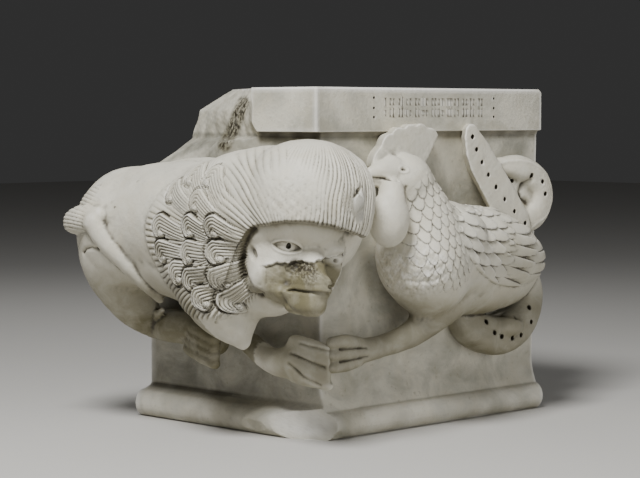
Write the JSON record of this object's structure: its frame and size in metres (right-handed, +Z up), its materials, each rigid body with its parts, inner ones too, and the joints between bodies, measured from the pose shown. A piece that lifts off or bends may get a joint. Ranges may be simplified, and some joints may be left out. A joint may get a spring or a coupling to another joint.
{
  "type": "historiated capital",
  "caption": "Historiated marble capital: a block with a plain top band and a roll at its foot, a lion carved round the corner and a basilisk beside it, flat beds above and below.",
  "frame": {"origin": "centre of the flat underside of the block", "axes": "+Z up; the lion's face looks along -X and the basilisk's face along -Y, so the carved front corner is towards -X and -Y; +Y and +X are the plain sides towards the wall"},
  "size_m": [0.4592, 0.3433, 0.34],
  "materials": {
    "marble": "worn, once-polished white marble with a warm patina"
  },
  "bodies": {
    "root": {"lion_and_basilisk_capital": "marble"}
  },
  "joints": []
}
